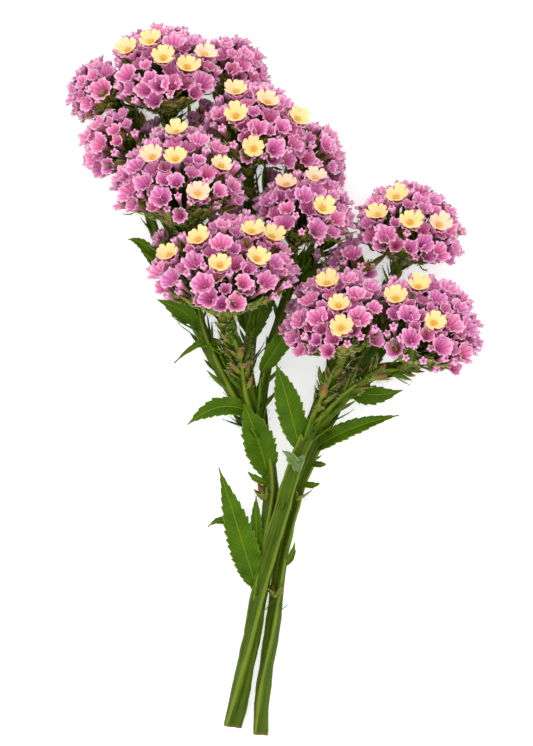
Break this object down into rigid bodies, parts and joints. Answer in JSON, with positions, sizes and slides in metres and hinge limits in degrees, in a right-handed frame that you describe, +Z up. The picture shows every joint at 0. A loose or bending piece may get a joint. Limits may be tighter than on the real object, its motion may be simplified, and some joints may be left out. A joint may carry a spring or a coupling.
{
  "type": "cut statice bunch",
  "caption": "Crossed cut stems of winged statice lying flat, with domed heads of papery funnel florets, toothed leaves and bracts.",
  "frame": {"origin": "on the surface the bunch lies on, under the middle of its bounding box", "axes": "+Y from the cut ends towards the flowers, +Z up from the surface, towards the viewer who looks down on the bunch"},
  "size_m": [0.1989, 0.3441, 0.0796],
  "materials": {
    "stem_green": "fresh-looking green stem and leaf, satin, slightly hairy",
    "calyx_mauve": "dry papery mauve-pink calyx, matt"
  },
  "bodies": {
    "root": {"front_stem": "stem_green", "back_stem": "stem_green", "crown_head": "calyx_mauve", "far_left_head": "calyx_mauve", "top_back_head": "calyx_mauve", "left_head": "calyx_mauve", "centre_left_head": "calyx_mauve", "upper_head": "calyx_mauve", "upper_side_head": "calyx_mauve", "middle_head": "calyx_mauve", "front_left_head": "calyx_mauve", "right_back_head": "calyx_mauve", "bud_head": "calyx_mauve", "front_right_head": "calyx_mauve", "far_right_head": "calyx_mauve"}
  },
  "joints": []
}
